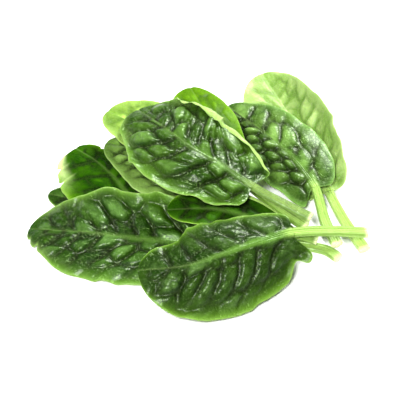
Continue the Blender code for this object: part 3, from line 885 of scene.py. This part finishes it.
def leaf_material(name, look):
    """Waxy leaf skin: two greens in soft patches, pale veins, a paler underside and a pale ribbed stalk, with
    painted highlight on blister crests, painted shade in the creases and painted light at the margin and tip.
    """
    material = bpy.data.materials.new(name)
    material.use_nodes = True
    nodes, links = material.node_tree.nodes, material.node_tree.links
    shader = nodes["Principled BSDF"]
    place = nodes.new("ShaderNodeTexCoord").outputs["Object"]

    def pattern(label):
        node = nodes.new("ShaderNodeAttribute")
        node.attribute_name = label
        return node.outputs["Fac"]

    def noise(scale, detail):
        node = nodes.new("ShaderNodeTexNoise")
        node.inputs["Scale"].default_value = scale
        node.inputs["Detail"].default_value = detail
        links.new(place, node.inputs["Vector"])
        return node.outputs["Fac"]

    def feed(socket, value):
        if isinstance(value, bpy.types.NodeSocket):
            links.new(value, socket)
        else:
            socket.default_value = value

    def maths(operation, a, b):
        node = nodes.new("ShaderNodeMath")
        node.operation = operation
        node.use_clamp = True
        feed(node.inputs[0], a)
        feed(node.inputs[1], b)
        return node.outputs["Value"]

    def ramp(value, start, end, low, high):
        """Goes from low to high while the value goes from start to end, and no further."""
        node = nodes.new("ShaderNodeMapRange")
        for label, limit in (("From Min", start), ("From Max", end), ("To Min", low), ("To Max", high)):
            node.inputs[label].default_value = limit
        links.new(value, node.inputs["Value"])
        return node.outputs["Result"]

    def blend(factor, below, above):
        node = nodes.new("ShaderNodeMix")
        node.data_type = "RGBA"
        links.new(factor, node.inputs["Factor"])
        for socket, colour in ((node.inputs[6], below), (node.inputs[7], above)):
            feed(socket, (*colour, 1) if isinstance(colour, tuple) else colour)
        return node.outputs[2]

    def bump(height, relief):
        node = nodes.new("ShaderNodeBump")
        node.inputs["Strength"].default_value = BUMP_STRENGTH
        node.inputs["Distance"].default_value = relief
        links.new(height, node.inputs["Height"])
        return node

    dark, light, shine = look["dark"], look["light"], look["shine"]
    # Painted highlight: blister crests take a lighter green with painted grey sheen, scaled by shine.
    gain = CREST_GAIN - CREST_GAIN_LOSS * light[1]
    painted_highlight = tuple(gain * c + CREST_SHEEN * b * shine for c, b in zip(light, PAINTED_SHEEN))
    # Painted shade: the creases keep only this share of the dark green.
    crease_shade = tuple(look["depth"] * c for c in dark)
    underside = tuple(0.5 * a + 0.5 * b for a, b in zip(light, VEIN))
    # Painted light in the thin margin, at least as light as the painted highlight.
    margin = tuple(max(a, b) for a, b in zip(painted_highlight, MARGIN_GLOW))
    rib_green = tuple(max(a, RIB_GAIN * b) for a, b in zip(RIB, light))
    stalk_light = tuple(look["stalk"] * c for c in STALK)
    stalk_dark = tuple(STREAK_SHADE * look["stalk"] ** 2 * c for c in STALK)

    edge, under, swell = pattern("edge"), pattern("under"), pattern("swell")
    net = nodes.new("ShaderNodeTexVoronoi")
    net.feature = "DISTANCE_TO_EDGE"
    net.inputs["Scale"].default_value = NET_SCALE
    links.new(place, net.inputs["Vector"])
    net_lines = ramp(net.outputs["Distance"], 0.0, NET_LINE, 1.0, 0.0)
    patches = ramp(noise(PATCH_SCALE, 3.0), *PATCH_LIMITS, 0.0, 1.0)
    # Where the painted highlight falls: on the crests, broken up by noise.
    crest = maths("MULTIPLY", ramp(swell, CREST_BOTTOM, 1.0, 0.0, CREST_STRENGTH), noise(CREST_SCALE, 2.0))
    hem = maths("MULTIPLY", maths("POWER", edge, HEM_TIGHTNESS), under)
    ragged = ramp(noise(RAGGED_SCALE, 3.0), *RAGGED_LIMITS, 0.0, 1.0)

    colour = blend(patches, dark, light)
    # Painted highlight on the crests.
    colour = blend(crest, colour, painted_highlight)
    # Painted shade in the creases.
    colour = blend(ramp(swell, 0.0, VALLEY_TOP, 1.0, 0.0), colour, crease_shade)
    colour = blend(maths("MULTIPLY", net_lines, NET_COVER), colour, light)
    colour = blend(maths("MULTIPLY", under, UNDERSIDE_COVER), colour, underside)
    colour = blend(hem, colour, HEM)
    # Painted light shining through the thin margin, then a paler line of it at the very edge.
    colour = blend(maths("MULTIPLY", maths("POWER", edge, MARGIN_TIGHTNESS), MARGIN_GLOW_COVER), colour, margin)
    colour = blend(maths("MULTIPLY", maths("POWER", edge, RIM_TIGHTNESS), RIM_GLOW_COVER), colour, VEIN)
    colour = blend(maths("MULTIPLY", pattern("vein"), VEIN_COVER), colour, VEIN)
    # Painted light through the tip, ragged at its edge.
    colour = blend(maths("MULTIPLY", pattern("tip"), ragged), colour, BACKLIT_GREEN)
    colour = blend(maths("MULTIPLY", pattern("rib"), look["rib"]), colour, rib_green)
    colour = blend(pattern("stalk"), colour, blend(noise(STREAK_SCALE, 2.0), stalk_light, stalk_dark))
    colour = blend(pattern("cut"), colour, STALK_CUT)
    links.new(colour, shader.inputs["Base Color"])

    dull = ramp(noise(DULL_SCALE, 4.0), 0.0, 1.0, look["rough"] - SMOOTHER, look["rough"] + ROUGHER)
    roughness = maths("ADD", dull, maths("MULTIPLY", under, UNDERSIDE_ROUGHER))
    links.new(roughness, shader.inputs["Roughness"])

    weave = bump(net_lines, NET_RELIEF)
    weave.invert = True
    grain = bump(noise(GRAIN_SCALE, 4.0), GRAIN_RELIEF)
    links.new(weave.outputs["Normal"], grain.inputs["Normal"])
    links.new(grain.outputs["Normal"], shader.inputs["Normal"])

    shader.inputs["Subsurface Weight"].default_value = look["glow"]
    shader.inputs["Subsurface Radius"].default_value = SOAK_RADIUS
    shader.inputs["Subsurface Scale"].default_value = SOAK_SCALE
    shader.inputs["Specular IOR Level"].default_value = SPECULAR * shine
    shader.inputs["Specular Tint"].default_value = SPECULAR_TINT
    shader.inputs["Coat Weight"].default_value = COAT * shine
    shader.inputs["Coat Roughness"].default_value = COAT_ROUGHNESS
    return material


def lay_plain_pile():
    """Settles the plain leaves as the CAD part does: each one's lift, and the middle of the finished pile."""
    pile = empty_pile()
    lifts, low, high = [], [], []
    for leaf in LEAVES:
        shape = leaf_shape(leaf, PETIOLE_ROWS, BLADE_ROWS, SIDE_COLUMNS, SECTION_STEPS)
        faces = plain_faces(shape)
        lift = settle(*faces, shape.along, pile)
        for face in faces:
            face[..., 2] += lift
        heap(*faces, pile, SAMPLES_PER_CELL + 2, SPREAD_CELLS)
        lifts.append(lift)
        low.append(np.min(faces, axis=(0, 1, 2)))
        high.append(np.max(faces, axis=(0, 1, 2)))
    lowest, highest = np.min(low, axis=0), np.max(high, axis=0)
    middle = (lowest + highest) / 2
    middle[2] = lowest[2]
    return lifts, middle


def make_leaves(lifts, middle):
    """The fine leaves, laid one on another from the bottom up, around the middle of the pile."""
    pile = empty_pile()
    for leaf, coarse_lift in zip(LEAVES, lifts):
        look = LOOKS[leaf["name"]]
        shape = leaf_shape(
            leaf, FINE_PETIOLE_ROWS, FINE_BLADE_ROWS, FINE_SIDE_COLUMNS, FINE_SECTION_STEPS, look
        )
        top, bottom, vein, swell = detailed_faces(look, shape)
        lift = settled_lift(coarse_lift, shape)
        top[..., 2] += lift
        bottom[..., 2] += lift
        lift = ease_clear(top, bottom, shape, pile)
        top[..., 2] += lift
        bottom[..., 2] += lift
        heap(top, bottom, pile, FINE_SAMPLES, FINE_SPREAD_CELLS)
        mesh = leaf_mesh(leaf["name"], look, shape, top - middle, bottom - middle, vein, swell)
        mesh.materials.append(leaf_material(leaf["name"], look))
        piece = bpy.data.objects.new("spinach_" + leaf["name"], mesh)
        bpy.context.scene.collection.objects.link(piece)
        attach(piece, "root")
        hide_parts(leaf["name"])


def make_floor():
    mesh = bpy.data.meshes.new("table_top")
    corners = [(x * FLOOR_REACH, y * FLOOR_REACH, 0) for x, y in ((-1, -1), (1, -1), (1, 1), (-1, 1))]
    mesh.from_pydata(corners, [], [(0, 1, 2, 3)])
    material = bpy.data.materials.new("table_top")
    material.use_nodes = True
    shader = material.node_tree.nodes["Principled BSDF"]
    shader.inputs["Base Color"].default_value = FLOOR_WHITE
    shader.inputs["Roughness"].default_value = FLOOR_ROUGHNESS
    mesh.materials.append(material)
    floor = bpy.data.objects.new("table_top", mesh)
    bpy.context.scene.collection.objects.link(floor)


def soft_light(name, place, size, watts):
    """A square panel that faces the middle of the pile."""
    lamp = bpy.data.lights.new(name, "AREA")
    lamp.shape = "SQUARE"
    lamp.size = size
    lamp.energy = watts
    holder = bpy.data.objects.new(name, lamp)
    holder.location = place
    holder.rotation_euler = (-Vector(place)).to_track_quat("-Z", "Y").to_euler()
    bpy.context.scene.collection.objects.link(holder)


def make_light():
    world = bpy.data.worlds.new("studio")
    world.use_nodes = True
    background = world.node_tree.nodes["Background"]
    background.inputs["Color"].default_value = (1, 1, 1, 1)
    background.inputs["Strength"].default_value = WORLD_LIGHT
    bpy.context.scene.world = world
    bpy.context.scene.view_settings.view_transform = "Standard"
    for name, place, size, watts in PANELS:
        soft_light(name, place, size, watts)


def make_camera(middle):
    lens = bpy.data.cameras.new("camera")
    lens.lens = CAMERA_LENS
    lens.sensor_width = CAMERA_SENSOR
    rise = math.radians(CAMERA_ELEVATION)
    toward = Vector((0, -math.cos(rise), math.sin(rise)))
    aim = (Vector(CAMERA_AIM) - Vector(middle)) * MM
    camera = bpy.data.objects.new("camera", lens)
    camera.location = aim + toward * CAMERA_DISTANCE * MM
    camera.rotation_euler = (-toward).to_track_quat("-Z", "Y").to_euler()
    bpy.context.scene.collection.objects.link(camera)
    bpy.context.scene.camera = camera


def main():
    lifts, middle = lay_plain_pile()
    make_leaves(lifts, middle)
    make_floor()
    make_light()
    make_camera(middle)


main()
